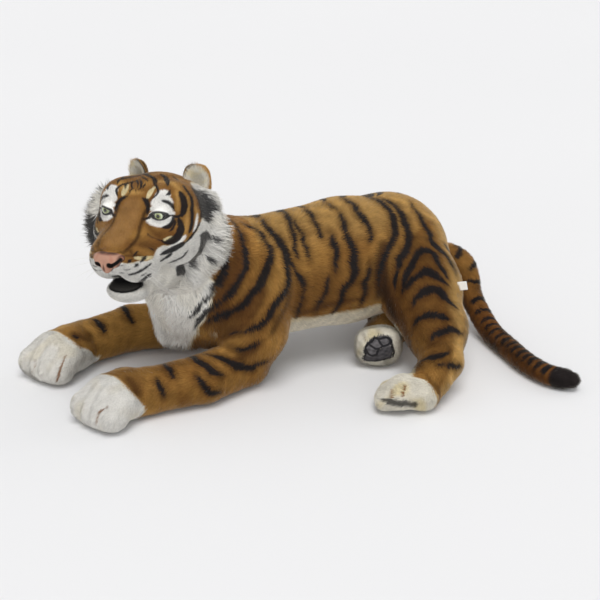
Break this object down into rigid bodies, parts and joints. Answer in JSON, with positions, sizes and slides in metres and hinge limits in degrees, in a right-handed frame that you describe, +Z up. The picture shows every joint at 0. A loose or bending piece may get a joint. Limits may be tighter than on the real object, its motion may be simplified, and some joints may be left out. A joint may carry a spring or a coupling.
{
  "type": "plush toy tiger",
  "caption": "Large plush toy tiger lying down, forelegs stretched ahead, hips rolled to one side, head turned, tail curled round.",
  "frame": {"origin": "centre of the footprint's bounding box, on the floor", "axes": "+X along the trunk from the head end to the rump, +Y to the animal's right, +Z up"},
  "size_m": [0.9106, 0.5586, 0.4407],
  "materials": {
    "striped_plush": "airbrushed polyester pile about 8 mm long, tan with charcoal stripes and white undersides",
    "white_plush": "white and cream polyester pile",
    "ear_plush": "short pile, cream inside and golden brown behind",
    "nose": "moulded nose with a fine matte grain, pink with dark nostrils",
    "eye": "clear domed toy eye over a pale green iris",
    "label": "satin ribbon, blank"
  },
  "bodies": {
    "root": {"head": "striped_plush", "neck": "white_plush", "ear_left": "ear_plush", "ear_right": "ear_plush", "eye_left": "eye", "eye_right": "eye", "nose": "nose", "trunk": "striped_plush", "foreleg_left": "striped_plush", "foreleg_right": "striped_plush", "forepaw_left": "white_plush", "forepaw_right": "white_plush", "hindleg_left": "striped_plush", "hindleg_right": "striped_plush", "hindpaw_left": "white_plush", "hindpaw_right": "white_plush", "tail": "striped_plush", "label": "label"}
  },
  "joints": []
}
